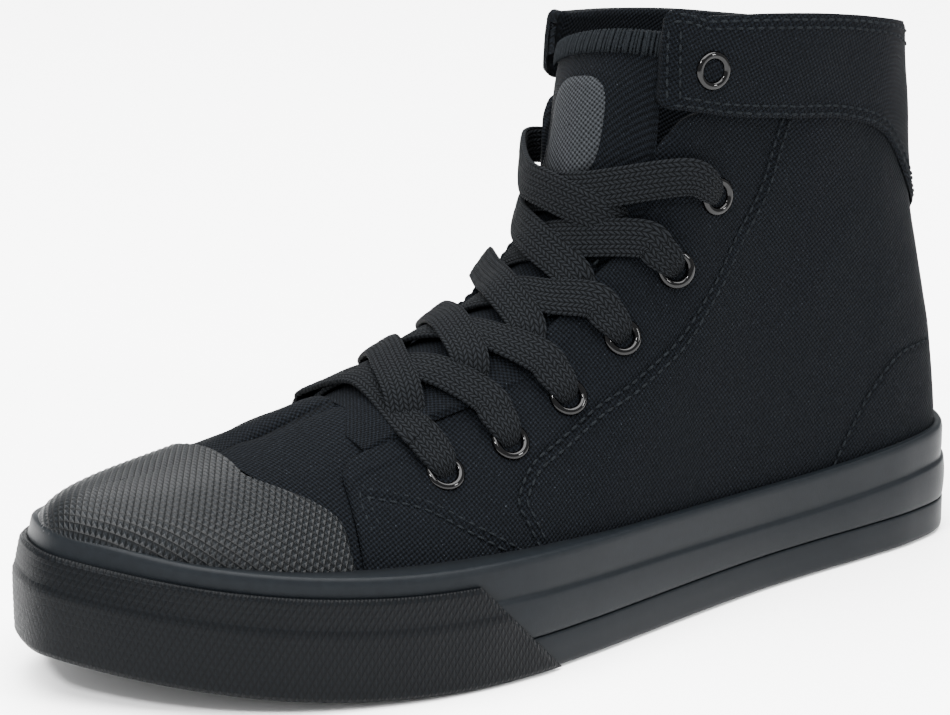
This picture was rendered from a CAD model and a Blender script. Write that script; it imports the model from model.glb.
import math
from functools import partial

import bpy
import numpy as np
from mathutils import Matrix, Vector
from mathutils.kdtree import KDTree


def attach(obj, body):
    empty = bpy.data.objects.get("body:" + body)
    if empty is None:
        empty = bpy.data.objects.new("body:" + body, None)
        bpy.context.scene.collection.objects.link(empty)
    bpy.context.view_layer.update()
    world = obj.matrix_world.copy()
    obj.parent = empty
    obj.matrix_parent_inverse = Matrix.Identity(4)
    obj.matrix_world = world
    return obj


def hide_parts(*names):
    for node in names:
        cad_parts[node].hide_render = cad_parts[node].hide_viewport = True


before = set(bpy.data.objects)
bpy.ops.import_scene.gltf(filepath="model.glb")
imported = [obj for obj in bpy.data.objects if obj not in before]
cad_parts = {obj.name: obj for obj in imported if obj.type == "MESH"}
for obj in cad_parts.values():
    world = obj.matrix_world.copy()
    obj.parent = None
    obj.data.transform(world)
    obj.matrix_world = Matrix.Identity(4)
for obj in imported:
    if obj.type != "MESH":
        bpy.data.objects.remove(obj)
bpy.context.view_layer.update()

# High top sneaker, left shoe: sizes in millimetres, +Z up, toe towards -Y, outer side +X
MM = 0.001
CENTRE = np.array([0.087, 1.073, 0.0])
LENGTH = 296.0
HALF_BALL = 54.0
COLLAR_HEIGHT = 161.3
COLLAR_TILT = 0.12
INSTEP_HEIGHT = 92.0
TOE_SPRING = 12.0
SPRING_START = 0.68
TOE_TUCK = 2.8
OUTSOLE_EDGE = 10.0
FOXING_HEIGHT = 32.0
FOXING_BAND = 10.5
BOARD = 10.3
UPPER_INSET = 3.5
UPPER_WALL = 2.0
QUARTER_STEP = 0.8
CUFF_FACE = 2.65
CUFF_LINING = 1.6
CUFF_LINING_END = 100.0
CUFF_GAP = 0.45
CUFF_SEAT = 19.0
LACE_WIDTH = 10.5
LACE_THICKNESS = 1.7
rng = np.random.default_rng(7)

# Sections of the last from the back of the heel to the toe tip, in the columns named here
COLUMNS = ("along", "lateral", "medial", "crown", "lean", "rise", "bow", "shift", "drop",
           "top", "across", "height")
STATIONS = np.array([
    (0.000, -0.010, -0.010, -0.010, 0.064, 0.45, 1.00, -0.001, 0.340, 0.081, 0.00, 0.925),
    (0.012, 0.345, -0.357, -0.008, 0.059, 0.45, 0.72, -0.001, 0.340, 0.086, 0.66, 0.927),
    (0.045, 0.580, -0.590, -0.004, 0.044, 0.45, 0.78, 0.000, 0.330, 0.104, 0.75, 0.935),
    (0.100, 0.675, -0.675, 0.000, 0.014, 0.46, 0.87, 0.001, 0.320, 0.150, 0.88, 0.952),
    (0.165, 0.708, -0.690, 0.000, -0.011, 0.47, 0.90, 0.000, 0.310, 0.216, 0.95, 0.973),
    (0.230, 0.725, -0.680, 0.000, -0.016, 0.48, 0.88, 0.000, 0.300, 0.292, 0.93, 0.988),
    (0.295, 0.750, -0.664, 0.000, -0.016, 0.48, 0.84, -0.006, 0.280, 0.362, 0.80, 0.996),
    (0.355, 0.790, -0.660, 0.000, -0.016, 0.47, 0.78, -0.010, 0.250, 0.407, 0.64, 1.000),
    (0.420, 0.845, -0.680, 0.000, -0.006, 0.52, 0.72, -0.020, 0.080, 0.436, 0.00, 0.795),
    (0.485, 0.905, -0.735, -0.005, 0.004, 0.52, 0.58, -0.008, 0.030, 0.457, 0.00, 1.185),
    (0.550, 0.962, -0.820, -0.015, 0.004, 0.48, 0.48, 0.000, 0.020, 0.510, 0.00, 1.000),
    (0.625, 1.005, -0.920, -0.025, 0.009, 0.48, 0.44, 0.000, 0.010, 0.590, 0.00, 0.858),
    (0.700, 0.985, -0.995, -0.040, 0.009, 0.50, 0.46, 0.000, 0.010, 0.680, 0.00, 0.752),
    (0.780, 0.880, -1.005, -0.065, 0.004, 0.56, 0.52, 0.000, 0.000, 0.766, 0.00, 0.684),
    (0.860, 0.685, -0.940, -0.100, 0.020, 0.72, 0.58, 0.002, 0.000, 0.832, 0.00, 0.626),
    (0.930, 0.395, -0.800, -0.140, 0.025, 0.82, 0.63, 0.028, 0.010, 0.880, 0.00, 0.592),
    (0.980, 0.070, -0.560, -0.175, 0.030, 0.88, 0.56, 0.052, 0.020, 0.910, 0.00, 0.578),
    (1.000, -0.195, -0.195, -0.195, 0.030, 0.89, 0.00, 0.061, 0.025, 0.922, 0.00, 0.574),
])
TIP = len(STATIONS) - 1
SHIN = 8
AROUND = 2 * TIP

# Tables along the shoe: places first, values second
FOXING_RISE = ((0.0, 1.0), (0.25, -2.5), (0.5, -0.8), (0.7, 1.0), (1.0, 1.0))
CUFF_EDGE = ((0.0, 0.570), (1.0, 0.582), (2.0, 0.640), (3.0, 0.765), (4.0, 0.814),
             (5.0, 0.832), (7.2, 0.868))
FACING_EDGE = ((6.0, 0.845), (6.4, 0.800), (7.0, 0.775), (7.4, 0.768), (7.8, 0.715),
               (8.3, 0.690), (9.3, 0.720), (10.5, 0.724), (11.5, 0.728), (12.0, 0.708),
               (12.15, 0.735), (12.25, 0.840), (12.3, 1.000))
FACING_TOP = 6.0
THROAT_END = 12.3
# Front edge of the quarters and rear edge of the cap: station at the crest, sweep lower down
QUARTER_FRONT = {"crown": 12.7, "sweep": 0.35, "corner_from": 12.3, "corner_top": 0.705}
CAP_REAR = {"crown": 13.90, "sweep": -0.87, "turn_from": 0.46, "turn_to": 0.8}
# Stations of each flap's end at its top and at its foot, on the outer side and the inner one
CUFF_END = {1: (6.95, 7.2), -1: (6.45, 6.7)}
EYELET_LIFT = 0.35
# Eyelets from the toe up: station of the facing's edge beside each, station, share upward
EYELET_ROWS = (
    (11.87, 11.70, 0.533), (11.08, 10.83, 0.517), (10.33, 9.93, 0.521),
    (9.43, 8.88, 0.521), (8.15, 7.50, 0.529), (7.72, 6.28, 0.637),
)
CUFF_EYELET = (6.1, 0.928)
# Tongue's centre line: along, share of the instep's height, share of the height from there to
# the collar, then half width and fall of its sides as shares of half the ball width
TONGUE_ROWS = (
    (0.728, 0.675, 0.000, 0.333, 0.07), (0.670, 0.752, 0.000, 0.370, 0.11),
    (0.600, 0.842, 0.000, 0.407, 0.19), (0.530, 0.925, 0.000, 0.407, 0.26),
    (0.477, 1.000, 0.104, 0.420, 0.28), (0.451, 1.000, 0.430, 0.435, 0.22),
    (0.434, 1.000, 0.720, 0.435, 0.17), (0.412, 1.000, 0.938, 0.425, 0.11),
)
TONGUE_DRIFT = 2.0
TONGUE_TILT = 0.22
TONGUE_THICKNESS = 2.8


# Curves through table rows
def catmull(a, b, c, d, t):
    linear = (c - a) * t
    square = (2 * a - 5 * b + 4 * c - d) * t * t
    cube = (3 * b - a - 3 * c + d) * t ** 3
    return b + (linear + square + cube) / 2


def ring_curve(points, q):
    q = np.asarray(q, float)
    k = np.floor(q).astype(int)
    t = (q - k)[..., None]
    a, b, c, d = (points[(k + i) % len(points)] for i in (-1, 0, 1, 2))
    return catmull(a, b, c, d, t)


def look_up(rows, place, column=1):
    table = np.array(rows, float)
    keys, values = table[:, 0], table[:, column]
    at = np.clip(np.asarray(place, float), keys[0], keys[-1])
    last = len(keys) - 1
    k = np.clip(np.searchsorted(keys, at, side="left") - 1, 0, last - 1)
    t = (at - keys[k]) / (keys[k + 1] - keys[k])
    before = values[np.maximum(k - 1, 0)]
    after = values[np.minimum(k + 2, last)]
    return catmull(before, values[k], values[k + 1], after, t)


def smooth(t):
    t = np.clip(t, 0, 1)
    return t * t * (3 - 2 * t)


def mix(a, b, t):
    return a + (b - a) * t


def unit(v):
    return v / np.maximum(np.linalg.norm(v, axis=-1, keepdims=True), 1e-12)


def y_at(along):
    return LENGTH * (0.5 - along)


def along_at(y):
    return 0.5 - y / LENGTH


def spring(y):
    past = np.clip((along_at(y) - SPRING_START) / (1 - SPRING_START), 0, 1)
    return TOE_SPRING * past * past


def foxing_top(y):
    return FOXING_HEIGHT + look_up(FOXING_RISE, along_at(y)) + spring(y)


def toe_tuck(y, rise):
    """How far the sole's wall leans in around the toe, at a share of its height"""
    return TOE_TUCK * smooth((along_at(y) - 0.90) / 0.08) * smooth((rise - 0.40) / 0.60)


# Surface of the last: q runs around the shoe, v from its foot to its top
def row_at(index):
    lateral = index <= TIP
    row = dict(zip(COLUMNS, STATIONS[index if lateral else AROUND - index]))
    return row, (1 if lateral else -1)


def outline_point(index):
    row, side = row_at(index)
    across = row["lateral"] if side > 0 else row["medial"]
    return (across * HALF_BALL, y_at(row["along"]), 0.0)


OUTLINE = np.array([outline_point(i) for i in range(AROUND)])


def rim(q, inset=0.0):
    q = np.asarray(q, float)
    point = ring_curve(OUTLINE, q)
    run = unit(ring_curve(OUTLINE, q + 0.05) - ring_curve(OUTLINE, q - 0.05))
    point[..., 0] += run[..., 1] * inset
    point[..., 1] -= run[..., 0] * inset
    return point


def section(index):
    row, side = row_at(index)
    station = min(index, AROUND - index)
    half = (row["lateral"] - row["medial"]) / 2 * HALF_BALL
    crown = row["crown"] * HALF_BALL
    height = row["height"] * (COLLAR_HEIGHT if station <= SHIN else INSTEP_HEIGHT)
    foot = rim(index, UPPER_INSET)
    foot[2] = BOARD + spring(foot[1])
    knee = rim(index, UPPER_INSET - row["lean"] * HALF_BALL)
    knee[2] = row["rise"] * height
    shoulder = np.array([crown + side * row["bow"] * half, y_at(row["top"] + row["shift"]),
                         height * (1 - row["drop"])])
    top = np.array([crown + side * row["across"] * half, y_at(row["top"]), height])
    if station <= SHIN:
        top[2] += COLLAR_TILT * top[0]
    return foot, knee, shoulder, top


SECTIONS = [section(i) for i in range(AROUND)]
LINES = [np.array([s[place] for s in SECTIONS]) for place in range(4)]


def station_of(q):
    turn = np.mod(np.asarray(q, float), AROUND)
    return np.round(np.minimum(turn, AROUND - turn), 6)


def place_on(side, station):
    """A station's place around the shoe, on the outer side (1) or the inner one (-1)"""
    return station if side > 0 else AROUND - station


def last(q, v):
    v = np.asarray(v, float)[..., None]
    u = 1 - v
    foot, knee, shoulder, top = (ring_curve(line, q) for line in LINES)
    return foot * u ** 3 + 3 * knee * u * u * v + 3 * shoulder * u * v * v + top * v ** 3


NUDGE = 0.02


def normal(q, v):
    q, v = np.broadcast_arrays(np.asarray(q, float), np.asarray(v, float))
    around = last(q + NUDGE, v) - last(q - NUDGE, v)
    up = last(q, np.minimum(v + NUDGE, 1)) - last(q, np.maximum(v - NUDGE, 0))
    face = unit(np.cross(up, around))
    station = station_of(q)
    ahead = last(np.minimum(station + NUDGE, TIP), np.ones_like(v))
    run = ahead - last(station - NUDGE, np.ones_like(v))
    crest = unit(np.cross(run, np.array([1.0, 0.0, 0.0])))
    closed = ((v > 1 - NUDGE / 2) & (station > SHIN + 0.5))[..., None]
    return np.where(closed, crest, face)


def skin(q, v, offset=0.0):
    offset = np.asarray(offset, float)
    return last(q, v) + normal(q, v) * offset[..., None]


def bisect(low, high, is_below):
    low = np.array(low, float)
    high = np.array(high, float)
    for _ in range(24):
        middle = (low + high) / 2
        below = is_below(middle)
        low = np.where(below, middle, low)
        high = np.where(below, high, middle)
    return (low + high) / 2


def v_at_height(q, z):
    q = np.asarray(q, float)
    return bisect(np.zeros_like(q), np.ones_like(q), lambda v: last(q, v)[..., 2] < z)


def v_at_foxing(q):
    q = np.asarray(q, float)

    def below(v):
        point = last(q, v)
        return point[..., 2] < foxing_top(point[..., 1])

    return bisect(np.zeros_like(q), np.ones_like(q), below)


def upper_top(q):
    q = np.asarray(q, float)
    station = station_of(q)
    edge = np.minimum(look_up(FACING_EDGE, station), 1)
    seat = v_at_height(q, last(q, np.ones_like(q))[..., 2] - CUFF_SEAT - 1)
    return np.where(station >= THROAT_END, 1.0, np.where(station > FACING_TOP, edge, seat))


# Smooth repeatable noise over the shoe, from a few waves in random directions
WAVES = [(unit(rng.normal(size=3)), rng.uniform(0, 2 * math.pi)) for _ in range(14)]


def ripple(points, length):
    total = np.zeros(points.shape[:-1])
    for k, (direction, phase) in enumerate(WAVES):
        size = length * (0.6 + 0.9 * k / len(WAVES))
        total += np.sin(points @ direction * (2 * math.pi / size) + phase)
    return total / math.sqrt(len(WAVES))


# Meshes from grids of points
def add_object(name, data):
    piece = bpy.data.objects.new(name, data)
    bpy.context.scene.collection.objects.link(piece)
    return piece


def make_mesh(name, points, faces, uvs=None):
    mesh = bpy.data.meshes.new(name)
    mesh.from_pydata(((np.asarray(points) + CENTRE) * MM).tolist(), [], faces)
    if uvs is not None:
        layer = mesh.uv_layers.new(name="UVMap")
        index = np.empty(len(mesh.loops), int)
        mesh.loops.foreach_get("vertex_index", index)
        layer.data.foreach_set("uv", np.asarray(uvs, float)[index].ravel())
    mesh.validate()
    mesh.polygons.foreach_set("use_smooth", [True] * len(mesh.polygons))
    mesh.update()
    return add_object(name, mesh)


def run_lengths(points, axis):
    """Length travelled along one axis of a grid, in millimetres"""
    gaps = np.linalg.norm(np.diff(points, axis=axis), axis=-1)
    first = np.zeros_like(np.take(gaps, [0], axis=axis))
    return np.concatenate([first, np.cumsum(gaps, axis=axis)], axis=axis)


def at_length(points, lengths, s):
    """Points at a length, or at several, along a path"""
    return np.stack([np.interp(s, lengths, column) for column in points.T], -1)


def sweep(name, loops, ring=False, closed_loops=True, caps=True, uvs=None):
    """A skin over loops (columns, points, 3), each loop closed on itself unless told not to"""
    columns, size, _ = loops.shape
    points = loops.reshape(-1, 3)
    faces = []
    spans = columns if ring else columns - 1
    turns = size if closed_loops else size - 1
    for k in range(spans):
        here, there = k * size, ((k + 1) % columns) * size
        for r in range(turns):
            s = (r + 1) % size
            faces.append((here + r, there + r, there + s, here + s))
    if caps and not ring:
        faces.append(tuple(range(size - 1, -1, -1)))
        faces.append(tuple((columns - 1) * size + r for r in range(size)))
    if uvs is None:
        along = run_lengths(loops, 0)[:, size // 3]
        across = run_lengths(loops, 1)
        uvs = np.stack([np.repeat(along[:, None], size, 1), across], -1)
    return make_mesh(name, points, faces, uvs.reshape(-1, 2) * MM)


def finish_piece(piece, nodes, slot_name, material=None):
    """Gives a piece its material, its body, the nodes that it replaces and its slot"""
    piece.data.materials.append(material or MATERIALS[slot_name])
    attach(piece, "root")
    if nodes:
        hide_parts(*nodes)


def make_sheet(name, outer, inner, step, node, slot_name, places=None):
    """A sheet of real thickness between an outer face and a coarser inner one"""
    loops = np.concatenate([outer, inner[:, ::-step]], 1)
    if places is not None:
        places = np.concatenate([places, places[:, ::-step]], 1)
    finish_piece(sweep(name, loops, uvs=places), [node], slot_name)


# Materials
def new_material(name, colour, roughness, specular=0.5):
    material = bpy.data.materials.new(name)
    material.use_nodes = True
    shader = material.node_tree.nodes["Principled BSDF"]
    shader.inputs["Base Color"].default_value = (*colour, 1.0)
    shader.inputs["Roughness"].default_value = roughness
    shader.inputs["Specular IOR Level"].default_value = specular
    return material, shader


def link(material, start, end):
    material.node_tree.links.new(start, end)


def math_node(material, operation, first, second=None):
    node = material.node_tree.nodes.new("ShaderNodeMath")
    node.operation = operation
    for socket, value in zip(node.inputs, (first, second)):
        if value is None:
            continue
        if isinstance(value, (int, float)):
            socket.default_value = value
        else:
            link(material, value, socket)
    return node.outputs[0]


def add_bump(material, shader, height, distance):
    bump = material.node_tree.nodes.new("ShaderNodeBump")
    bump.inputs["Strength"].default_value = 1.0
    bump.inputs["Distance"].default_value = distance
    link(material, height, bump.inputs["Height"])
    link(material, bump.outputs["Normal"], shader.inputs["Normal"])


def noise(material, scale, detail):
    source = material.node_tree.nodes.new("ShaderNodeTexCoord")
    texture = material.node_tree.nodes.new("ShaderNodeTexNoise")
    texture.inputs["Scale"].default_value = scale
    texture.inputs["Detail"].default_value = detail
    link(material, source.outputs["Object"], texture.inputs["Vector"])
    return texture.outputs["Fac"]


def colour_ramp(material, value, stops):
    ramp = material.node_tree.nodes.new("ShaderNodeValToRGB")
    ramp.color_ramp.elements[0].position = stops[0][0]
    ramp.color_ramp.elements[0].color = (*stops[0][1], 1)
    ramp.color_ramp.elements[1].position = stops[1][0]
    ramp.color_ramp.elements[1].color = (*stops[1][1], 1)
    for position, colour in stops[2:]:
        element = ramp.color_ramp.elements.new(position)
        element.color = (*colour, 1)
    link(material, value, ramp.inputs["Fac"])
    return ramp.outputs["Color"]


def piece_lengths(material):
    """The two lengths across a piece, in millimetres"""
    source = material.node_tree.nodes.new("ShaderNodeTexCoord")
    parts = material.node_tree.nodes.new("ShaderNodeSeparateXYZ")
    link(material, source.outputs["UV"], parts.inputs[0])
    return [math_node(material, "MULTIPLY", parts.outputs[axis], 1 / MM) for axis in "XY"]


def weave_height(material, pitch):
    """A plain weave whose threads run slantwise over the piece"""
    node = partial(math_node, material)
    first, second = piece_lengths(material)
    total = node("ADD", first, node("MULTIPLY", second, WEAVE_SLANT))
    apart = node("SUBTRACT", second, node("MULTIPLY", first, WEAVE_SLANT))
    warp = node("SINE", node("MULTIPLY", total, math.pi / pitch))
    weft = node("SINE", node("MULTIPLY", apart, math.pi / pitch))
    return node("MULTIPLY", node("MULTIPLY", warp, weft), 0.5)


def scaled_colour(material, colour, factor):
    """A colour made darker where the factor is low"""
    node = material.node_tree.nodes.new("ShaderNodeVectorMath")
    node.operation = "SCALE"
    link(material, colour, node.inputs[0])
    link(material, factor, node.inputs["Scale"])
    return node.outputs[0]


def fabric(name, dark, light, speck, pitch, depth):
    """Woven cloth: darker between its threads, with specks of lint"""
    material, shader = new_material(name, dark, CLOTH_ROUGHNESS, CLOTH_SPECULAR)
    node = partial(math_node, material)
    stops = ((0.36, dark), (0.60, light), (0.70, light), (0.78, speck))
    colour = colour_ramp(material, noise(material, LINT_SCALE, 3.0), stops)
    weave = weave_height(material, pitch)
    tone = node("ADD", node("MULTIPLY", weave, WEAVE_CONTRAST), 1.0)
    link(material, scaled_colour(material, colour, tone), shader.inputs["Base Color"])
    rough = node("MULTIPLY", noise(material, FUZZ_SCALE, 3.0), FUZZ_SHARE)
    add_bump(material, shader, node("ADD", weave, rough), depth)
    return material


def braided(name, dark, light, pitch, depth):
    """Slanting cells in columns, mirrored from column to column, over a lace's own lengths"""
    material, shader = new_material(name, dark, CLOTH_ROUGHNESS, CLOTH_SPECULAR)
    node = partial(math_node, material)
    along, across = piece_lengths(material)
    column = node("DIVIDE", across, pitch)
    lean = node("MULTIPLY", node("PINGPONG", column, 1.0), BRAID_LEAN)
    step = node("DIVIDE", along, pitch * BRAID_STEP)
    cell = node("FRACT", node("ADD", step, lean))
    ridge = node("SINE", node("MULTIPLY", cell, math.pi))
    valley = node("SINE", node("MULTIPLY", node("FRACT", column), math.pi))
    height = node("MULTIPLY", node("POWER", ridge, RIDGE_POWER), node("POWER", valley, VALLEY_POWER))
    colour = colour_ramp(material, height, ((0.15, dark), (0.85, light)))
    link(material, colour, shader.inputs["Base Color"])
    rough = node("MULTIPLY", noise(material, 2400.0, 3.0), 0.30)
    add_bump(material, shader, node("ADD", height, rough), depth)
    return material


def rubber(name, dark, light, roughness, specular, depth):
    """Smooth moulded rubber with a faint unevenness"""
    material, shader = new_material(name, dark, roughness, specular)
    fine = noise(material, 500.0, 4.0)
    colour = colour_ramp(material, fine, ((0.35, dark), (0.75, light)))
    link(material, colour, shader.inputs["Base Color"])
    add_bump(material, shader, noise(material, 2200.0, 3.0), depth)
    return material


def knurled(name, dark, light, roughness, specular, depth):
    """Small pyramids in staggered rows over a piece's own lengths"""
    material, shader = new_material(name, dark, roughness, specular)
    node = partial(math_node, material)
    first, second = piece_lengths(material)
    across = node("DIVIDE", first, KNURL_ACROSS)
    upward = node("DIVIDE", second, 2 * KNURL_ROW)
    total = node("PINGPONG", node("ADD", across, upward), 0.5)
    apart = node("PINGPONG", node("SUBTRACT", across, upward), 0.5)
    height = node("MULTIPLY", node("MINIMUM", total, apart), 2.0)
    colour = colour_ramp(material, height, ((0.10, dark), (0.80, light)))
    link(material, colour, shader.inputs["Base Color"])
    rough = node("MULTIPLY", noise(material, 1500.0, 3.0), 0.15)
    add_bump(material, shader, node("ADD", height, rough), depth)
    return material


# Sizes of the weave, the braid and the knurl in millimetres, slants and leans as shares
WEAVE_PITCH = 0.78
WEAVE_SLANT = 0.25
WEAVE_CONTRAST = 1.9
WEAVE_DEPTH = 0.00030
LINT_SCALE = 2600.0
FUZZ_SCALE = 900.0
FUZZ_SHARE = 0.9
CLOTH_ROUGHNESS = 0.95
CLOTH_SPECULAR = 0.04
BRAID_PITCH = 1.25
BRAID_LEAN = 0.9
BRAID_STEP = 1.2
RIDGE_POWER = 0.6
VALLEY_POWER = 0.5
KNURL_ACROSS = 1.95
KNURL_ROW = 1.35

# Colours from dark to light, the third one for specks
CLOTH = ((0.0005, 0.0007, 0.0010), (0.0017, 0.0022, 0.0031), (0.020, 0.023, 0.027))
THREADS = ((0.002, 0.0024, 0.003), (0.005, 0.006, 0.007), (0.012, 0.013, 0.015))
PATCH = ((0.0065, 0.0072, 0.0080), (0.012, 0.013, 0.0145), (0.02, 0.02, 0.02))
CORD = ((0.0005, 0.0006, 0.0007), (0.0046, 0.0052, 0.0061))
SMOOTH = ((0.0021, 0.0028, 0.0036), (0.0029, 0.0038, 0.0048))
CAP = ((0.0004, 0.0006, 0.0008), (0.0030, 0.0039, 0.0049))
BUMPER = ((0.0003, 0.0005, 0.0008), (0.0011, 0.0016, 0.0022))

ENAMEL, enamel_shader = new_material("eyelet_enamel", (0.0005, 0.0005, 0.0006), 0.35, 0.0)
enamel_shader.inputs["Coat Weight"].default_value = 0.30
enamel_shader.inputs["Coat Roughness"].default_value = 0.04
MATERIALS = {
    "canvas": fabric("canvas", *CLOTH, WEAVE_PITCH, WEAVE_DEPTH),
    "tongue_canvas": fabric("tongue_canvas", *CLOTH, WEAVE_PITCH, WEAVE_DEPTH),
    "lining": fabric("lining", *CLOTH, 0.7, 0.00015),
    "webbing": fabric("webbing", *CLOTH, 1.3, 0.00025),
    "lace_cord": braided("lace_cord", *CORD, BRAID_PITCH, 0.00050),
    "sole_rubber": rubber("sole_rubber", *SMOOTH, 0.50, 0.055, 0.00004),
    "cap_rubber": knurled("cap_rubber", *CAP, 0.42, 0.085, 0.00050),
    "eyelet_enamel": ENAMEL,
}
THREAD = fabric("thread", *THREADS, 0.6, 0.00004)
LABEL = fabric("label_grey", *PATCH, WEAVE_PITCH, 0.00015)
BUMPER_RUBBER = knurled("bumper_rubber", *BUMPER, 0.48, 0.05, 0.00026)


# Camera and light, before the pieces
CAMERA_PLACE = np.array([703.754, -541.661, 317.642])
CAMERA_BACK = np.array([0.770955, -0.576825, 0.270003])
CAMERA_RIGHT = np.array([0.599075, 0.800693, 0.0])
CAMERA_LENS = 126.2
CAMERA_SENSOR = 36.0
# Each light: name, place and aim in metres, sides, power
LIGHTS = (
    ("top", (0.1, -0.2, 2.2), (0, 0, 0.0), (2.6, 2.6), 430.0),
    ("key", (0.5, -1.3, 1.3), (0, 0, 0.06), (0.25, 0.25), 42.0),
    ("side", (1.5, 0.6, 0.9), (0, 0, 0.08), (0.2, 0.4), 26.0),
    ("back", (-1.0, 0.7, 1.3), (0, 0, 0.08), (0.8, 0.8), 24.0),
)
WORLD_STRENGTH = 1.5
FLOOR_SIZE = 8.0
FLOOR_GAP = 0.0005


def place_camera():
    camera = bpy.data.cameras.new("camera")
    camera.lens = CAMERA_LENS
    camera.sensor_width = CAMERA_SENSOR
    camera.clip_end = 20.0
    piece = add_object("camera", camera)
    place = (CAMERA_PLACE + CENTRE) * MM
    up = np.cross(CAMERA_BACK, CAMERA_RIGHT)
    rows = np.stack([CAMERA_RIGHT, up, CAMERA_BACK, place], 1).tolist()
    piece.matrix_world = Matrix(rows + [[0, 0, 0, 1]])
    bpy.context.scene.camera = piece


def add_area(name, place, aim, size, power):
    lamp = bpy.data.lights.new(name, "AREA")
    lamp.shape = "RECTANGLE"
    lamp.size, lamp.size_y = size
    lamp.energy = power
    piece = add_object(name, lamp)
    piece.location = place
    piece.rotation_euler = (Vector(aim) - Vector(place)).to_track_quat("-Z", "Y").to_euler()


def place_stage():
    world = bpy.data.worlds.new("studio")
    bpy.context.scene.world = world
    world.use_nodes = True
    background = world.node_tree.nodes["Background"]
    background.inputs["Color"].default_value = (1.0, 1.0, 1.0, 1.0)
    background.inputs["Strength"].default_value = WORLD_STRENGTH
    for light in LIGHTS:
        add_area(*light)
    bpy.ops.mesh.primitive_plane_add(size=FLOOR_SIZE, location=(0, 0, -FLOOR_GAP))
    floor = bpy.context.active_object
    floor.name = "floor"
    pale = new_material("pale_floor", (0.97, 0.97, 0.97), 0.9, 0.1)[0]
    floor.data.materials.append(pale)


place_camera()
place_stage()


# Sole
RING = np.linspace(0, AROUND, 680, endpoint=False)


def rim_points(q, inset, height):
    point = rim(q, inset)
    point[..., 2] = height + spring(point[..., 1])
    return point


def arch(y):
    t = np.clip((along_at(y) - 0.30) / 0.32, 0, 1)
    return 1.6 * np.sin(math.pi * t) ** 2


GROOVE_PITCH = 11.0
GROOVE_WIDTH = 2.4
GROOVE_DEPTH = 1.8


def rungs_across(inset, height, shares):
    """Lines across the sole from its outer side to its inner one"""
    half = len(RING) // 2
    start = rim_points(RING[:half + 1], inset, height)[:, None]
    end = rim_points(RING[-np.arange(half + 1) % len(RING)], inset, height)[:, None]
    share = np.asarray(shares, float)[None, :, None]
    return start * (1 - share) + end * share


# Wall of the outsole: inset and height; then the tread and the board inside
WALL_PROFILE = ((2.2, 0.0), (0.7, 0.25), (0.12, 0.9), (0.0, 1.9), (0.0, 5.0), (0.0, 9.2),
                (0.25, 9.75), (0.9, 9.95), (7.0, 9.95), (7.6, 18.3))
TREAD_INSET = WALL_PROFILE[0][0]
BOARD_INSET, BOARD_TOP = WALL_PROFILE[-1]
TREAD_FIELDS = ((0.068, 0.25), (0.598, 0.84))
TREAD_MARGIN = 0.08
TREAD_START = 0.07


def make_outsole():
    loops = np.stack([rim_points(RING, inset, z) for inset, z in WALL_PROFILE], 1)
    wall = sweep("outsole_wall", loops, ring=True, closed_loops=False, caps=False)
    finish_piece(wall, ["outsole"], "sole_rubber")
    share = np.concatenate([[0], np.linspace(0.04, 0.96, 15), [1]])
    under = rungs_across(TREAD_INSET, 0.0, share)
    along = along_at(under[..., 1])
    phase = np.mod(y_at(TREAD_START) - under[..., 1] + GROOVE_WIDTH / 2, GROOVE_PITCH)
    field = np.any([(along > low) & (along < high) for low, high in TREAD_FIELDS], axis=0)
    even = np.linspace(0, 1, under.shape[1])[None, :]
    inside = (even > TREAD_MARGIN) & (even < 1 - TREAD_MARGIN)
    under[..., 2] += np.where(field & inside & (phase < GROOVE_WIDTH), GROOVE_DEPTH, 0)
    under[..., 2] += arch(under[..., 1]) * smooth(8 * even * (1 - even))
    sheet = sweep("outsole_tread", under[:, ::-1], closed_loops=False, caps=False)
    finish_piece(sheet, ["outsole"], "sole_rubber")
    board = rungs_across(BOARD_INSET, BOARD_TOP, (0, 1))
    lid = sweep("footbed", board, closed_loops=False, caps=False)
    finish_piece(lid, ["outsole"], "sole_rubber")


# Upper lip of the foxing: inset, height over its top line; then its distance from the upper
FOXING_LIP = ((0.95, -0.75), (1.25, -0.25), (1.7, 0.0), (2.4, 0.05), (3.2, -0.15))
FOXING_GAP = 0.32


def make_foxing():
    top = foxing_top(rim(RING)[..., 1])
    lift = spring(rim(RING)[..., 1])
    wave = ripple(rim(RING), 60.0) * 0.12

    def at(inset, z):
        rise = (z - lift - OUTSOLE_EDGE) / (top - lift - OUTSOLE_EDGE)
        point = rim(RING, inset + toe_tuck(rim(RING)[..., 1], rise))
        point[..., 2] = z
        return point

    step = top - FOXING_BAND
    rows = [at(0.9, 10.15 + lift), at(0.25, 10.25 + lift), at(0.0, 10.7 + lift)]
    for share in np.linspace(0.12, 0.9, 6):
        bow = 0.35 * np.sin(math.pi * share)
        rows.append(at(-bow, mix(10.7 + lift, step - 0.9, share)))
    rows += [at(0.0, step - 0.9), at(0.15, step - 0.35), at(0.70, step), at(1.0, step + 0.3)]
    rows.append(at(0.9, step + 1.0))
    for share in np.linspace(0.2, 0.85, 4):
        rows.append(at(0.75 + wave * 0.4, mix(step + 1.0, top - 0.8, share)))
    rows += [at(inset, top + over) for inset, over in FOXING_LIP]
    brim = v_at_foxing(RING)
    for share in (1.0, 0.85, 0.6, 0.3, 0.0):
        rows.append(skin(RING, brim * share, FOXING_GAP))
    loops = np.stack(rows, 1)
    piece = sweep("foxing", loops, ring=True)
    finish_piece(piece, ["foxing"], "sole_rubber")


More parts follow.
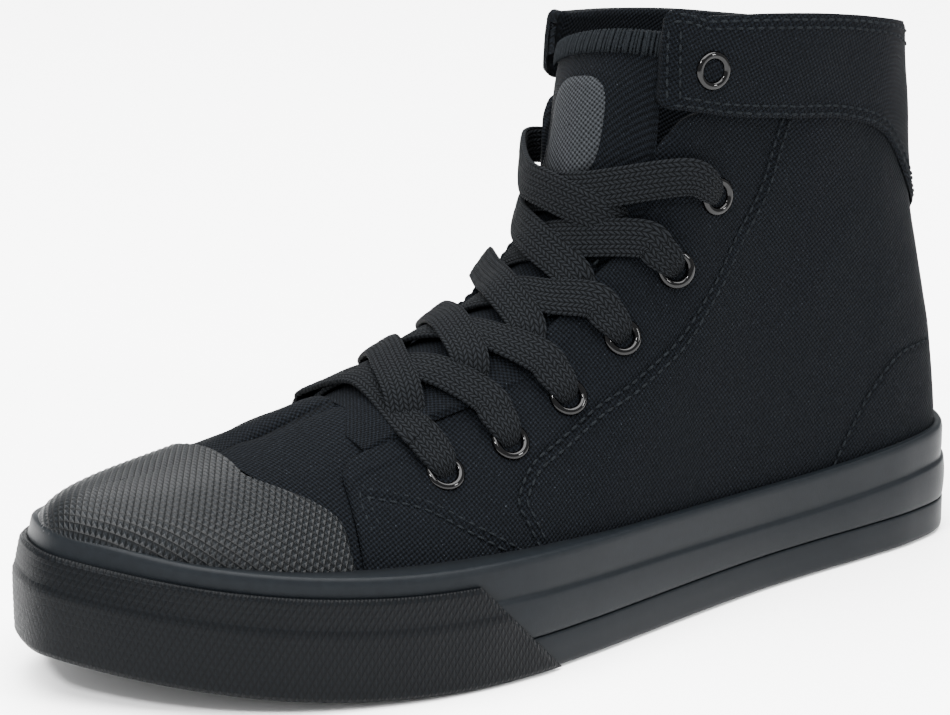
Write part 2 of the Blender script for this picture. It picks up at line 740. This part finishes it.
def knurl(first, second):
    """Height of the pyramids at two lengths in millimetres, from 0 to 1"""
    across, upward = first / KNURL_ACROSS, second / (2 * KNURL_ROW)
    total = 0.5 - np.abs(np.mod(across + upward, 1) - 0.5)
    apart = 0.5 - np.abs(np.mod(across - upward, 1) - 0.5)
    return 2 * np.minimum(total, apart)


KNURL_HEIGHT = 0.3
BUMPER_HEIGHT = 21.0
BUMPER_FOOT = 0.45
BUMPER_DROP = 5.0
BUMPER_ENDS = {"top": 0.68, "bottom": 0.592}
BUMPER_FACE = 1.95


def turn_at(along, side):
    """The place around the shoe that lies a share of its length from the heel"""
    station = bisect(0.0, float(TIP), lambda q: rim(place_on(side, q))[..., 1] > y_at(along))
    return place_on(side, float(station))


def make_bumper():
    top_ends = [turn_at(BUMPER_ENDS["top"], side) for side in (1, -1)]
    low_ends = [turn_at(BUMPER_ENDS["bottom"], side) for side in (1, -1)]
    share = np.linspace(0, 1, 880)
    ends = smooth(share / 0.008) * smooth((1 - share) / 0.008)

    def at(rise, out):
        q = mix(mix(*low_ends, share), mix(*top_ends, share), rise)
        wall = np.clip(rise * 0.85 - 0.10, 0, 1)
        point = rim(q, toe_tuck(rim(q)[..., 1], wall) - out)
        low = BUMPER_FOOT + spring(point[..., 1])
        high = foxing_top(point[..., 1]) - BUMPER_DROP
        point[..., 2] = mix(low, high, rise)
        return point

    face, places = [], []
    for rise in np.linspace(0, 1, 54):
        settle = smooth((rise - 0.62) / 0.12) * 0.55
        edge = smooth(rise / 0.045) * smooth((1 - rise) / 0.045)
        base = at(rise, 0)
        lengths = run_lengths(base[:, None], 0)[:, 0]
        lengths -= lengths[len(lengths) // 2]
        tall = np.full_like(lengths, BUMPER_HEIGHT * rise)
        bumps = KNURL_HEIGHT * knurl(lengths, tall) * edge
        wobble = ripple(base, 26.0) * 0.10
        out = (BUMPER_FACE - settle - 0.9) + 0.5 * edge * ends + bumps * ends + wobble * edge
        away = unit(at(rise, 1.0) - base)
        face.append(base + away * out[:, None])
        places.append(np.stack([lengths, tall], -1))
    back = [at(1.0, -1.0), at(0.0, 0.3)]
    loops = np.stack(face + back, 1)
    places = np.stack(places + [places[-1], places[0]], 1)
    piece = sweep("toe_bumper", loops, uvs=places)
    finish_piece(piece, ["toe_bumper"], "cap_rubber", BUMPER_RUBBER)


INSOLE_PROFILE = ((8.4, 18.7), (8.4, 21.0), (8.9, 23.2), (9.5, 23.8))
INSOLE_CUP = 1.2


def make_insole():
    share = np.linspace(0, 1, 13)
    inset, height = INSOLE_PROFILE[-1]
    rungs = rungs_across(inset, height - INSOLE_CUP, share)
    rungs[..., 2] += INSOLE_CUP * (1 - smooth(4 * share * (1 - share)))
    sheet = sweep("insole_top", rungs, closed_loops=False, caps=False)
    finish_piece(sheet, ["insole"], "lining")
    loops = np.stack([rim_points(RING, inset, z) for inset, z in INSOLE_PROFILE], 1)
    side = sweep("insole_edge", loops, ring=True, closed_loops=False, caps=False)
    finish_piece(side, ["insole"], "lining")


make_outsole()
make_foxing()
make_bumper()
make_insole()

# Seams by place: pairs of station and share upward, from the outer side of the shoe
SEAMS = {
    "eyestay": ((4.93, 0.804), (5.10, 0.750), (5.48, 0.642), (6.20, 0.529), (6.75, 0.458),
                (7.60, 0.408), (8.78, 0.412), (9.60, 0.442), (10.20, 0.442), (10.62, 0.429),
                (10.88, 0.367), (10.80, 0.300), (10.62, 0.200)),
    "front": ((12.60, 0.600), (12.74, 0.542), (12.74, 0.417), (12.82, 0.267), (12.86, 0.18)),
    "panel": ((12.68, 0.550), (12.10, 0.462), (11.60, 0.346), (10.88, 0.200)),
    "counter": ((1.98, 0.321), (3.05, 0.296), (3.70, 0.233), (4.03, 0.188), (4.42, 0.129),
                (4.62, 0.096)),
}


def smooth_path(points, step):
    """Points at even steps along a curve through the given points"""
    points = np.asarray(points, float)
    padded = np.vstack([2 * points[0] - points[1], points, 2 * points[-1] - points[-2]])
    t = np.linspace(0, 1, 24, endpoint=False)[:, None]
    parts = [catmull(padded[k], padded[k + 1], padded[k + 2], padded[k + 3], t)
             for k in range(len(points) - 1)]
    dense = np.vstack(parts + [points[-1:]])
    lengths = run_lengths(dense[:, None], 0)[:, 0]
    count = max(int(lengths[-1] / step), 2)
    return at_length(dense, lengths, np.linspace(0, lengths[-1], count))


def seam_places(key, side):
    places = np.array(SEAMS[key])
    points = smooth_path(places, 0.02)
    return place_on(side, points[:, 0]), points[:, 1]


SEAM_POINTS = []
for seam_side in (1, -1):
    for seam_key in ("eyestay", "counter", "panel"):
        seam_q, seam_v = seam_places(seam_key, seam_side)
        SEAM_POINTS.append(last(seam_q, seam_v))
SEAM_POINTS = np.vstack(SEAM_POINTS)


def seam_distance(points):
    tree = KDTree(len(SEAM_POINTS))
    for k, point in enumerate(SEAM_POINTS):
        tree.insert(point, k)
    tree.balance()
    flat = points.reshape(-1, 3)
    return np.array([tree.find(p)[2] for p in flat]).reshape(points.shape[:-1])


# Upper: the vamp underneath and the quarters over it, one step higher
def vamp_folds(points):
    """Creases across the vamp's crest beside the toe cap"""
    along = along_at(points[..., 1])
    crest = np.exp(-((points[..., 0] + 8 + 40 * (along - 0.72)) / 5.0) ** 2)
    swell = 1.5 * crest * smooth((along - 0.69) / 0.03) * smooth((0.83 - along) / 0.04)
    groove = np.exp(-((points[..., 0] + 1.0 + 40 * (along - 0.72)) / 1.6) ** 2)
    cut = 1.3 * groove * smooth((along - 0.69) / 0.02) * smooth((0.81 - along) / 0.03)
    return swell - cut


def make_vamp():
    turns = np.linspace(12.05, AROUND - 12.05, 360)
    shares = np.concatenate([np.linspace(0, 0.98, 64), [1.0]])
    q, share = np.meshgrid(turns, shares, indexing="ij")
    top = np.where(station_of(q) >= THROAT_END, 1.0, upper_top(q))
    v = share * top
    point = last(q, v)
    offset = -QUARTER_STEP + vamp_folds(point) + ripple(point, 30) * 0.12
    outer = skin(q, v, offset)
    inner = skin(q, v, np.full_like(v, -UPPER_WALL))
    make_sheet("vamp", outer, inner, 6, "upper", "canvas")


QUARTER_TURN = 12.0
SEAM_REACH = 1.1
SEAM_DEPTH = 0.45
EDGE_BAND = 0.085
EDGE_BAND_RISE = 0.35
FRONT_LIFT = 0.4


def quarter_top(turn):
    """Top edge of a quarter, with its rounded front corner"""
    station = station_of(turn)
    start = QUARTER_FRONT["corner_from"]
    past = np.clip((station - start) / (QUARTER_FRONT["crown"] - start), 0, 1)
    corner = QUARTER_FRONT["corner_top"] - 0.09 * (1 - np.sqrt(np.clip(1 - past ** 2.4, 0, 1)))
    return np.where(station > QUARTER_TURN, corner, upper_top(turn))


def quarter_front(station, v):
    reach = np.clip(1 - np.abs(station - QUARTER_FRONT["crown"]) / 2, 0, 1)
    return station + QUARTER_FRONT["sweep"] * smooth(reach) * (1 - v)


def make_quarters():
    front = QUARTER_FRONT["crown"]
    half = np.concatenate([
        np.linspace(0, QUARTER_TURN, 260),
        np.linspace(QUARTER_TURN + 0.02, front - 0.1, 26),
        front - 0.1 * (1 - np.linspace(0, 1, 12)[1:]) ** 1.5,
    ])
    turns = np.concatenate([-half[::-1], half[1:]])
    shares = np.linspace(0, 1, 96)
    turn, share = np.meshgrid(turns, shares, indexing="ij")
    station = np.abs(turn)
    v = share * quarter_top(turns)[:, None]
    moved = quarter_front(station, v)
    q = np.where(turn > 0, moved, AROUND - moved)
    point = last(q, v)
    dip = np.exp(-(seam_distance(point) / SEAM_REACH) ** 2)
    flex = smooth((point[..., 2] - 50) / 40)
    wrinkle = ripple(point, 46) * 0.28 * flex + ripple(point, 18) * 0.07
    toward_edge = (1 - share) * quarter_top(turns)[:, None]
    band = smooth((EDGE_BAND - toward_edge) / 0.012) * smooth((station - 7.0) / 0.4)
    front_lift = FRONT_LIFT * smooth((station - 11.3) / 0.5)
    offset = wrinkle - SEAM_DEPTH * dip + EDGE_BAND_RISE * band + front_lift
    rounding = smooth((1 - share) / 0.012)
    edge_round = np.minimum(rounding, smooth((front - station) / 0.03 + 0.2))
    outer = skin(q, v, offset * edge_round - 0.35 * (1 - edge_round))
    depth = np.where(station > QUARTER_TURN, QUARTER_STEP, UPPER_WALL)
    inner = skin(q, v, -depth)
    make_sheet("quarters", outer, inner, 6, "upper", "canvas")


CAP_EDGE = 0.10
CAP_THICKNESS = 0.80
CAP_UNDER = 0.45


def crest_line():
    """The cap's middle line from its rear edge over the toe: y, height and length along it"""
    back = last(np.linspace(13.0, TIP, 60), np.ones(60))
    front = last(np.full(60, float(TIP)), np.linspace(1.0, 0.2, 60))
    line = np.concatenate([back, front[1:]])
    lengths = run_lengths(line[:, None, 1:], 0)[:, 0]
    return line[:, 1], line[:, 2], lengths


def draped(point):
    """Lengths over the toe as if a sheet were draped on it: along the shoe, then across it"""
    y, height, lengths = crest_line()
    middle = look_up([(row[0], row[3] * HALF_BALL) for row in STATIONS], along_at(point[..., 1]))
    along = np.interp(-point[..., 1], -y, lengths)
    drop = np.interp(-point[..., 1], -y, height) - point[..., 2]
    away = point[..., 0] - middle
    across = np.sign(away) * np.hypot(away, np.maximum(drop, 0))
    return np.stack([along, across], -1)


def make_toe_cap():
    turns = np.linspace(CAP_REAR["crown"], AROUND - CAP_REAR["crown"], 460)
    shares = np.linspace(0, 1, 190)
    turn, share = np.meshgrid(turns, shares, indexing="ij")
    station = station_of(turn)
    fade = (TIP - station) / (TIP - CAP_REAR["crown"])

    def place_of(v):
        span = CAP_REAR["turn_to"] - CAP_REAR["turn_from"]
        turned = smooth((CAP_REAR["turn_to"] - v) / span)
        moved = station + CAP_REAR["sweep"] * fade * turned
        return np.where(turn <= TIP, moved, AROUND - moved)

    def below(v):
        point = last(place_of(v), v)
        return point[..., 2] < foxing_top(point[..., 1]) - 0.5

    low = bisect(np.zeros_like(turn), np.ones_like(turn), below)
    v = mix(low, 1.0, share)
    q = place_of(v)
    point = last(q, v)
    edge = np.minimum(smooth((turn - turns[0]) / 0.03), smooth((turns[-1] - turn) / 0.03))
    places = draped(point)
    bumps = KNURL_HEIGHT * knurl(places[..., 0], places[..., 1])
    outer = skin(q, v, CAP_EDGE + (CAP_THICKNESS + bumps) * edge)
    inner = skin(q, v, np.full_like(v, -CAP_UNDER))
    make_sheet("toe_cap", outer, inner, 12, "toe_cap", "cap_rubber", places)


make_vamp()
make_quarters()
make_toe_cap()


# Cuff: a folded band with rounded edges around the collar
def cuff_low(end):
    return v_at_height(end, look_up(CUFF_EDGE, np.abs(end)) * COLLAR_HEIGHT)


def cuff_columns(count):
    ease = np.linspace(-1, 1, count)
    return np.sign(ease) * (1 - (1 - np.abs(ease)) ** 1.15)


def cuff_place(share, rise):
    """q and v on the cuff: share runs from the inner flap to the outer one, rise is upward"""
    share = np.asarray(share, float)
    top_end = np.where(share < 0, CUFF_END[-1][0], CUFF_END[1][0])
    low_end = np.where(share < 0, CUFF_END[-1][1], CUFF_END[1][1])
    end = low_end * share
    low = cuff_low(end)
    v = mix(low, 1.0, rise)
    return mix(end, top_end * share, np.clip(rise, 0, 1)), v


def cuff_offset(share, rise):
    """How far the cuff's face stands off the last: thin at the back's lower edge, thick at the flaps"""
    flap = smooth((np.abs(share) - 0.62) / 0.25)
    face = mix(1.5, CUFF_FACE, np.maximum(flap, smooth(rise / 0.7)))
    rounding = smooth(rise / 0.03) * (0.35 + 0.65 * smooth((1 - rise) / 0.035))
    puff = 0.55 * np.sin(math.pi * np.minimum(rise * 1.05, 1)) ** 0.7
    return face - 0.9 * (1 - rounding) + puff * mix(0.3, 1.0, flap)


def make_cuff():
    share = cuff_columns(420)
    ends = np.minimum(smooth((share + 1) / 0.010), smooth((1 - share) / 0.010))
    corner = np.where(share < 0, (share + 1) / 0.045, (1 - share) / 0.026)
    droop = 1 - np.sqrt(np.clip(1 - (1 - np.clip(corner, 0, 1)) ** 2, 0, 1))
    droop *= np.where(share < 0, 0.038, 0.024)
    loops = []
    rises = np.concatenate([[0.0, 0.008, 0.02], np.linspace(0.04, 0.95, 40), [0.975, 0.992, 1.0]])
    for rise in rises:
        q, v = cuff_place(share, rise)
        v = v - droop * smooth((rise - 0.5) / 0.5) + droop * smooth((0.35 - rise) / 0.35)
        point = last(q, v)
        waves = ripple(point, 40) * 0.30 * np.sin(math.pi * rise)
        offset = mix(0.7, cuff_offset(share, rise) + waves, ends)
        loops.append(skin(q, v, offset))
    for rise in (0.985, 0.9, 0.6, 0.35):
        q, v = cuff_place(share, rise)
        span = v - droop * smooth((rise - 0.5) / 0.5)
        lowest = v_at_height(q, CUFF_LINING_END)
        loops.append(skin(q, np.maximum(span, lowest), np.full_like(v, -CUFF_LINING)))
    for rise in (0.30, 0.15, 0.03):
        q, v = cuff_place(share, rise)
        loops.append(skin(q, v, np.full_like(v, CUFF_GAP)))
    piece = sweep("collar_band", np.stack(loops, 1))
    finish_piece(piece, ["collar_band"], "canvas")


STRIP_HALF = 12.5
STRIP_THICKNESS = 1.5
STRIP_SWELL = 1.9
STRIP_RIB = 2.2


def make_heel_strip():
    reach = float(bisect(0.0, 2.0, lambda q: last(q, np.full_like(q, 0.4))[..., 0] < STRIP_HALF))
    turns = np.linspace(-reach, reach, 60)
    shares = np.linspace(0, 1, 90)
    turn, share = np.meshgrid(turns, shares, indexing="ij")
    low = v_at_foxing(turns)[:, None]
    high = v_at_height(turns, look_up(CUFF_EDGE, np.abs(turns)) * COLLAR_HEIGHT + 1.0)[:, None]
    v = mix(low, high, share)
    edge = smooth((reach - np.abs(turn)) / (reach * 0.14))
    ribs = 0.12 * np.cos(turn / reach * STRIP_HALF * 2 * math.pi / STRIP_RIB)
    swell = STRIP_SWELL * smooth((1 - share) / 0.12) * (1 - 0.7 * smooth((0.85 - share) / 0.55))
    outer = skin(turn, v, 0.4 + (STRIP_THICKNESS + swell + ribs) * edge)
    inner = skin(turn, v, np.full_like(v, 0.1))
    make_sheet("heel_strip", outer, inner, 8, "heel_strip", "webbing")


make_cuff()
make_heel_strip()


# Tongue
def tongue_value(column, t):
    rows = [(index, *row) for index, row in enumerate(TONGUE_ROWS)]
    return look_up(rows, np.asarray(t, float) * (len(TONGUE_ROWS) - 1), column)


def tongue_centre(t):
    y = y_at(tongue_value(1, t))
    z = tongue_value(2, t) * INSTEP_HEIGHT + tongue_value(3, t) * (COLLAR_HEIGHT - INSTEP_HEIGHT)
    return np.stack([np.zeros_like(y), y, z], -1)


def tongue_face(across, t):
    across, t = np.broadcast_arrays(np.asarray(across, float), np.asarray(t, float))
    run = unit(tongue_centre(np.minimum(t + 0.01, 1)) - tongue_centre(np.maximum(t - 0.01, 0)))
    inward = np.stack([np.zeros_like(t), run[..., 2], -run[..., 1]], -1)
    point = tongue_centre(t)
    point[..., 0] = TONGUE_DRIFT + across * tongue_value(4, t) * HALF_BALL
    point[..., 2] += TONGUE_TILT * point[..., 0] * smooth((t - 0.55) / 0.45)
    fall = tongue_value(5, t) * HALF_BALL * np.abs(across) ** 2.2
    return point + inward * fall[..., None]


def tongue_normal(across, t):
    side = tongue_face(across + 0.01, t) - tongue_face(across - 0.01, t)
    run = tongue_face(across, np.minimum(t + 0.01, 1)) - tongue_face(across, np.maximum(t - 0.01, 0))
    return unit(np.cross(side, run))


def tongue_skin(across, t, offset):
    return tongue_face(across, t) + tongue_normal(across, t) * np.asarray(offset)[..., None]


def tongue_swell(across, t):
    """How far the padding stands off the tongue's plain face"""
    padding = 0.5 * np.sin(math.pi * np.clip(t / 0.93, 0, 1))
    return ripple(tongue_face(across, t), 34) * 0.35 + padding


BINDING_START = 0.935


def make_tongue():
    t = np.concatenate([np.linspace(0, 0.92, 110), np.linspace(0.925, 1.0, 34)])
    across = np.linspace(-1, 1, 90)
    a, rise = np.meshgrid(across, t, indexing="ij")
    band = smooth((rise - BINDING_START) / 0.012)
    gather = np.sin(a * 82 + 2.2 * np.sin(a * 9)) * 0.5 + 0.5
    edge = smooth((1 - np.abs(a)) / 0.05) * smooth((1 - rise) / 0.012)
    offset = mix(tongue_swell(a, rise), 1.0 + 0.7 * gather, band)
    outer = tongue_skin(a, rise, offset * edge - 0.8 * (1 - edge))
    inner = tongue_skin(a, rise, np.full_like(a, -TONGUE_THICKNESS) - 0.4 * band + 0.8 * (1 - edge))
    make_sheet("tongue", outer, inner, 1, "tongue", "tongue_canvas")


PATCH_CENTRE = (-0.06, 0.785)
PATCH_HALF = (0.52, 0.100)
PATCH_ROUNDING = 3.2
# Rings of the patch from its rim inwards: size and lift
PATCH_RINGS = ((1.0, 0.3), (0.99, 1.0), (0.8, 1.05), (0.5, 1.05), (0.2, 1.05), (0.02, 1.05))


def rounded(value, power):
    """Keeps a sine's sign and squares off its shape"""
    return np.sign(value) * np.abs(value) ** power


def make_label():
    """A plain rounded patch on the tongue"""
    angle = np.linspace(0, 2 * math.pi, 72, endpoint=False)
    x = rounded(np.cos(angle), 2 / PATCH_ROUNDING)
    y = rounded(np.sin(angle), 2 / PATCH_ROUNDING)
    loops, places = [], []
    for size, lift in PATCH_RINGS:
        a = PATCH_CENTRE[0] + x * PATCH_HALF[0] * size
        t = PATCH_CENTRE[1] + y * PATCH_HALF[1] * size
        loops.append(tongue_skin(a, t, tongue_swell(a, t) + lift - 0.75))
        places.append(np.stack([a * 22, t * 150], -1))
    loops, places = np.stack(loops, 1), np.stack(places, 1)
    piece = sweep("tongue_label", loops, ring=True, closed_loops=False, caps=False, uvs=places)
    finish_piece(piece, [], "tongue_canvas", LABEL)


def make_tongue_edge():
    """Threads sewn over the tongue's top edge"""
    threads = []
    for index, across in enumerate(np.linspace(-0.97, 0.97, 66)):
        t = np.linspace(BINDING_START - 0.004, 0.998, 9)
        lean = across + 0.012 * np.sin(index * 2.4) + 0.010 * (t - t[0]) / (t[-1] - t[0])
        hump = np.sin(math.pi * np.linspace(0.08, 0.62, 9)) ** 0.5
        threads.append(tube(tongue_skin(lean, t, 0.9 + 0.75 * hump), 0.40))
    join_threads("tongue_edge", threads, "tongue_canvas")


make_tongue()
make_label()


# Eyelets
def eyelet_frame(side, row):
    if row < len(EYELET_ROWS):
        _, station, v = EYELET_ROWS[row]
        lift = 0.0
    else:
        station, height = CUFF_EYELET
        v = float(v_at_height(station, height * COLLAR_HEIGHT))
        lift = CUFF_FACE + EYELET_LIFT
    q = place_on(side, station)
    out = normal(q, v)
    return last(q, v) + out * lift, out


def make_eyelet(side, row):
    centre, out = eyelet_frame(side, row)
    first = unit(np.cross(out, np.array([0.0, 0.3, 1.0])))
    second = np.cross(out, first)
    profile = ((5.3, -0.1), (5.35, 0.35), (5.1, 0.85), (4.6, 1.18), (4.0, 1.22), (3.45, 0.95),
               (3.1, 0.35), (3.0, -0.6), (3.0, -3.2), (3.5, -3.2), (3.5, -0.4))
    angle = np.linspace(0, 2 * math.pi, 56, endpoint=False)
    spoke = np.cos(angle)[:, None] * first + np.sin(angle)[:, None] * second
    loops = np.stack([centre + spoke * r + out * z for r, z in profile], 1)
    side_name = "lateral" if side > 0 else "medial"
    name = f"eyelet_{side_name}_{row + 1}"
    piece = sweep(f"{name}_ring", loops, ring=True)
    finish_piece(piece, [name], "eyelet_enamel")


for eyelet_side in (1, -1):
    for eyelet_row in range(len(EYELET_ROWS) + 1):
        make_eyelet(eyelet_side, eyelet_row)


# Laces: braided flat bars from under one facing across the tongue into the eyelet opposite
def facing_spot(row, side, share, lift):
    """A place from the facing's edge (0) to the eyelet (1), with lift off the surface"""
    edge, station, up = EYELET_ROWS[row]
    v_edge = float(upper_top(edge))
    place = place_on(side, mix(edge, station, share))
    v = mix(v_edge, up, share)
    return skin(place, v, lift), normal(place, v)


def crown_spot(station, lift):
    return skin(station, 1.0, lift), normal(station, 1.0)


def tongue_row(row):
    """Place up the tongue beside the facing's edge at a row of eyelets"""
    t = np.linspace(0, 1, 400)
    edge = facing_spot(row, 1, 0.0, 0.0)[0]
    return float(t[np.argmin(np.linalg.norm((tongue_centre(t) - edge)[:, 1:], axis=1))])


def tongue_spot(across, t, lift):
    return tongue_skin(across, t, lift), tongue_normal(across, t)


def braid_height(along, across):
    """The braid's relief at two lengths in millimetres, from 0 to 1"""
    column = across / BRAID_PITCH
    inside = np.mod(column, 1)
    lean = np.where(np.mod(np.floor(column), 2) < 1, inside, 1 - inside)
    cell = np.mod(along / (BRAID_PITCH * BRAID_STEP) + lean * BRAID_LEAN, 1)
    return np.sin(math.pi * cell) ** RIDGE_POWER * np.sin(math.pi * inside) ** VALLEY_POWER


BRAID_RELIEF = 0.22
LACE_STEP = 0.46


def lace_bar(stops):
    """Loops around a flat lace through its stops, and the lengths over each loop"""
    dense = smooth_path([np.hstack(stop) for stop in stops], LACE_STEP)
    place = dense[:, :3]
    lengths = run_lengths(place[:, None], 0)[:, 0]
    run = unit(np.gradient(place, axis=0))
    side = unit(np.cross(run, dense[:, 3:6]))
    up = np.cross(side, run)
    around = np.linspace(0, 2 * math.pi, 54, endpoint=False)
    x = rounded(np.cos(around), 0.75)
    z = rounded(np.sin(around), 0.45)
    half = dense[:, 6][:, None] * LACE_WIDTH / 2
    tall = dense[:, 7][:, None] * LACE_THICKNESS / 2
    across = np.broadcast_to(x[None, :] * LACE_WIDTH / 2 + LACE_WIDTH, (len(place), len(x)))
    along = np.broadcast_to(lengths[:, None], across.shape)
    px = x[None, :] * half
    pz = z[None, :] * (tall + BRAID_RELIEF * braid_height(along, across))
    loops = place[:, None] + px[..., None] * side[:, None] + pz[..., None] * up[:, None]
    return loops, np.stack([along, across], -1)


# Stops of a lace from the facing into an eyelet: share of the way, lift, width and thickness
LACE_EYE = ((0.62, 2.2, 0.96, 1.1), (0.86, 1.7, 0.80, 1.5), (1.00, -1.0, 0.50, 2.0),
            (1.02, -3.4, 0.44, 2.0))
FULL = (1.0, 1.0)
PUFF = {1: 0.4, -1: 2.0}
LAST_PUFF = 1.2
OVER = 1.9
UNDER = 0.1


def eyelet_stops(row, side):
    return [(*facing_spot(row, side, share, lift), *sizes) for share, lift, *sizes in LACE_EYE]


def lace_stops(row, side_from, high):
    """From under one facing to the eyelet across, a row up; high is the lift at the crossing"""
    to = -side_from
    start, end = tongue_row(row), tongue_row(row + 1)
    puff = PUFF[to]
    if row + 1 == len(EYELET_ROWS) - 1 and to < 0:
        puff += LAST_PUFF
    return [
        (*facing_spot(row, side_from, 0.35, -3.6), 0.85, 1.0),
        (*facing_spot(row, side_from, 0.02, -1.4), 0.95, 1.0),
        (*tongue_spot(0.55 * side_from, mix(start, end, 0.22), 2.3 + high * 0.5), *FULL),
        (*tongue_spot(0.0, mix(start, end, 0.5), 2.3 + high), *FULL),
        (*tongue_spot(0.50 * to, mix(start, end, 0.75), 2.6 + (high + puff) * 0.5), *FULL),
        (*facing_spot(row + 1, to, 0.30, 2.3 + puff), *FULL),
        *eyelet_stops(row + 1, to),
    ]


def straight_half(side):
    """Half of the straight bar over the first pair of eyelets"""
    near = [(*facing_spot(0, side, share, lift), *FULL) for share, lift in ((0.0, 2.2), (0.3, 2.4))]
    return near + eyelet_stops(0, side)


def make_laces():
    middle = (*crown_spot(EYELET_ROWS[0][0], 1.8), *FULL)
    bars = [lace_bar(straight_half(1)[::-1] + [middle] + straight_half(-1))]
    for row in range(len(EYELET_ROWS) - 1):
        bars.append(lace_bar(lace_stops(row, -1, UNDER)))
        bars.append(lace_bar(lace_stops(row, 1, OVER)))
    for index, (loops, places) in enumerate(bars):
        piece = sweep(f"lace_bar_{index + 1}", loops, uvs=places)
        finish_piece(piece, ["laces"], "lace_cord")


make_laces()


# Threads: stitches along the seams and the sewn edge of the tongue
STITCH_LENGTH = 2.3
STITCH_GAP = 0.9
STITCH_RADIUS = 0.34
STITCH_SWELL = 0.35
STITCH_WIDTH = 1.15
# Places along a stitch and its fullness there, as shares
STITCH_RINGS = ((-0.5, 0.25), (-0.3, 0.9), (0.0, 1.0), (0.3, 0.9), (0.5, 0.25))
THREAD_SIDES = 6


def thread(path, side, up, radii):
    """Vertices and faces of one rounded thread along a path, spread by its side and up vectors"""
    sides, count = THREAD_SIDES, len(path)
    angle = 2 * math.pi * np.arange(sides) / sides
    spokes = np.cos(angle)[:, None] * side[:, None] + np.sin(angle)[:, None] * up[:, None]
    vertices = (path[:, None] + radii[:, None, None] * spokes).reshape(-1, 3)
    faces = [tuple(range(sides - 1, -1, -1)), tuple((count - 1) * sides + j for j in range(sides))]
    for k in range(count - 1):
        for j in range(sides):
            n = (j + 1) % sides
            faces.append((k * sides + j, k * sides + n, (k + 1) * sides + n, (k + 1) * sides + j))
    return vertices, faces


def stitch_row(points, normals):
    """Short threads one after another along a path on the surface"""
    lengths = run_lengths(points[:, None], 0)[:, 0]
    place, fat = np.array(STITCH_RINGS).T
    lift = STITCH_RADIUS * STITCH_SWELL * (1 - 4 * place ** 2)
    pitch = STITCH_LENGTH + STITCH_GAP
    threads = []
    for k in range(int(lengths[-1] / pitch)):
        s = (k + 0.5) * pitch
        middle = at_length(points, lengths, s)
        run = unit(at_length(points, lengths, s + 0.6) - middle)
        side = unit(np.cross(at_length(normals, lengths, s), run))
        up = np.cross(run, side)
        path = middle + (place * STITCH_LENGTH)[:, None] * run + lift[:, None] * up
        threads.append(thread(path, STITCH_WIDTH * side[None], up[None], fat * STITCH_RADIUS))
    return threads


def tube(path, radius):
    run = unit(np.gradient(path, axis=0))
    side = unit(np.cross(run, np.array([0.0, 1.0, 0.0])))
    swell = np.sin(math.pi * np.linspace(0.06, 0.94, len(path))) ** 0.4
    return thread(path, side, np.cross(side, run), radius * swell)


def join_threads(name, threads, slot_name):
    faces = []
    offset = 0
    for points, around in threads:
        faces += [tuple(index + offset for index in face) for face in around]
        offset += len(points)
    piece = make_mesh(name, np.vstack([points for points, _ in threads]), faces)
    finish_piece(piece, [], slot_name, THREAD)


def surface_row(q, v, lift):
    points = skin(q, v, np.broadcast_to(lift, v.shape))
    return stitch_row(points, normal(q, v))


def shifted_row(q, v, side_step, lift):
    """A second row beside the first, a step away on the surface"""
    points = last(q, v)
    out = normal(q, v)
    run = unit(np.gradient(points, axis=0))
    away = np.cross(out, run)
    return stitch_row(points + away * side_step + out * lift, out)


def upper_stitches():
    threads = []
    for side in (1, -1):
        for key, twin in (("eyestay", 2.6), ("panel", 2.4), ("counter", None), ("front", None)):
            q, v = seam_places(key, side)
            threads += surface_row(q, v, 0.05)
            if twin:
                threads += shifted_row(q, v, twin * side, 0.05)
        q, v = seam_places("front", side)
        threads += shifted_row(q, v, 2.4 * side, 0.05)
        q = place_on(side, np.linspace(7.9, 11.9, 160))
        threads += shifted_row(q, upper_top(q), -2.2 * side, 0.1)
    join_threads("upper_stitches", threads, "canvas")


def cuff_stitches():
    threads = []
    share = np.linspace(-0.965, 0.975, 500)
    for rise in (0.05, 0.13, 0.88, 0.95):
        q, v = cuff_place(share, rise)
        threads += surface_row(q, v, cuff_offset(share, rise) - 0.08)
    for side in (1, -1):
        rise = np.linspace(0.10, 0.90, 60)
        for inset in (0.980, 0.955):
            q, v = cuff_place(np.full_like(rise, inset * side), rise)
            threads += surface_row(q, v, cuff_offset(inset, rise) - 0.05)
    join_threads("cuff_stitches", threads, "canvas")


upper_stitches()
cuff_stitches()
make_tongue_edge()
